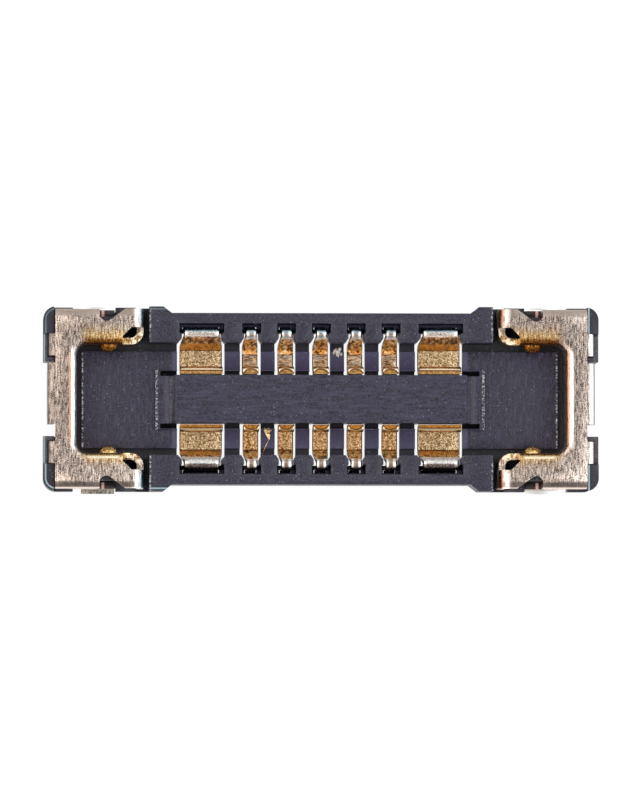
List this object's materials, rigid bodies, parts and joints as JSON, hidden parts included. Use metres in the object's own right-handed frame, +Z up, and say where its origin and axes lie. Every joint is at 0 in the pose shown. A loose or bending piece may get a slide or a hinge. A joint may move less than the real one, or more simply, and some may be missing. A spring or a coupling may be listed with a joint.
{
  "type": "fpc connector",
  "caption": "Fine-pitch board-to-FPC connector receptacle: dark moulded housing, facing rows of gold-plated spring contacts with wide power contacts, and folded metal hold-downs at both ends",
  "frame": {"origin": "centre of the seating plane, which the solder tails and feet touch, below the middle of the housing", "axes": "+X runs along the contact rows towards the right hold-down, +Y across the rows towards row a, +Z up, out of the mating side"},
  "size_m": [0.0056, 0.0018, 0.0006],
  "materials": {
    "housing_plastic": "satin",
    "hold_down_metal": "satin",
    "contact_gold": "satin"
  },
  "bodies": {
    "root": {"housing": "housing_plastic", "hold_down_left": "hold_down_metal", "hold_down_right": "hold_down_metal", "power_contact_a1": "contact_gold", "power_contact_a2": "contact_gold", "power_contact_b1": "contact_gold", "power_contact_b2": "contact_gold", "signal_contact_a1": "contact_gold", "signal_contact_a2": "contact_gold", "signal_contact_a3": "contact_gold", "signal_contact_a4": "contact_gold", "signal_contact_a5": "contact_gold", "signal_contact_b1": "contact_gold", "signal_contact_b2": "contact_gold", "signal_contact_b3": "contact_gold", "signal_contact_b4": "contact_gold", "signal_contact_b5": "contact_gold"}
  },
  "joints": []
}
